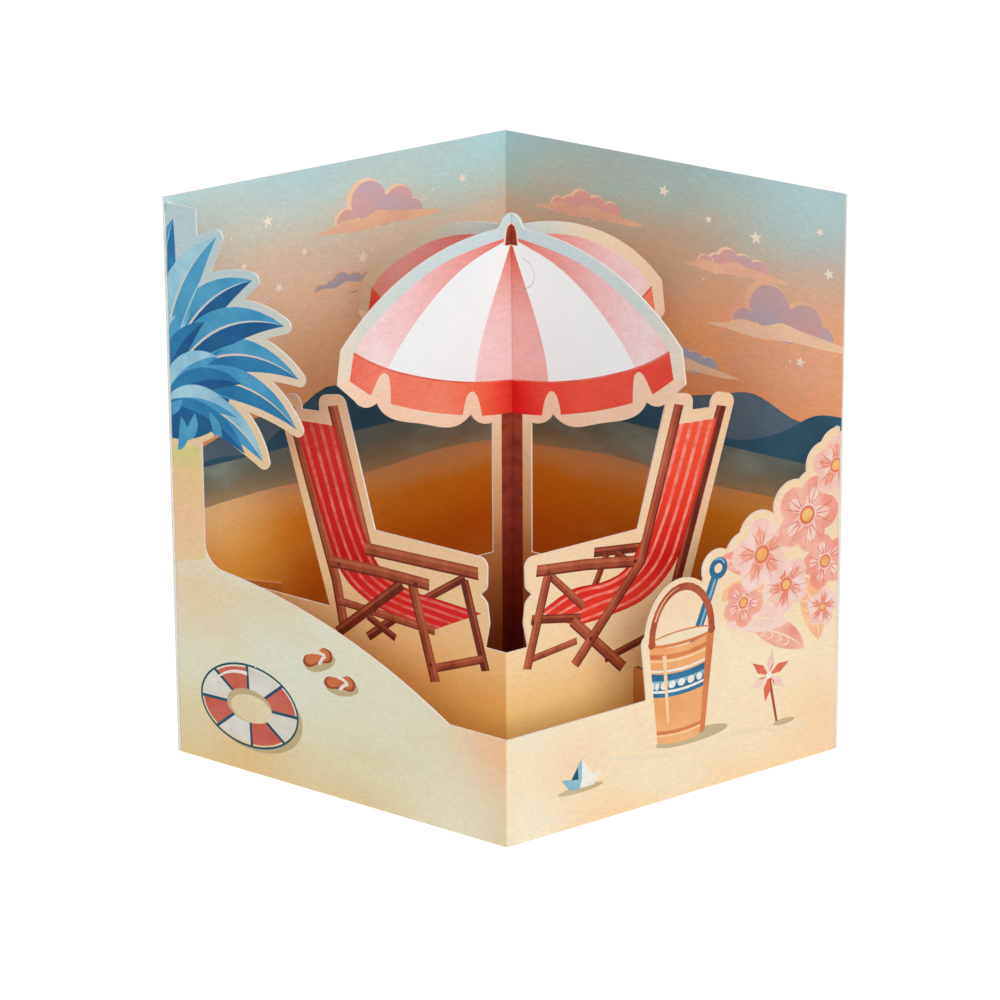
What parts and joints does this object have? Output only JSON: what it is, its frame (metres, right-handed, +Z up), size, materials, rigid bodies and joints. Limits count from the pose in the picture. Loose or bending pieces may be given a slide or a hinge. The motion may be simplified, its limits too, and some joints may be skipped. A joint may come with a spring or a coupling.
{
  "type": "pop-up greeting card",
  "caption": "Standing pop-up card: folded back and front sheets around a row of two deck chairs and a slotted beach parasol.",
  "frame": {"origin": "table level, halfway between the front fold and the back fold, on the middle plane of its outer sheets", "axes": "+X to the right, +Y towards the back fold, +Z up; the front fold faces -Y"},
  "size_m": [0.1458, 0.11, 0.127],
  "materials": {
    "back_card": "matte",
    "front_card": "matte",
    "row_card": "matte",
    "parasol_card": "matte",
    "strut_card": "matte"
  },
  "bodies": {
    "root": {"back_sheet": "back_card", "front_sheet": "front_card", "chair_row": "row_card", "parasol_a": "parasol_card", "parasol_b": "parasol_card", "strut_left": "strut_card", "strut_right": "strut_card"}
  },
  "joints": []
}
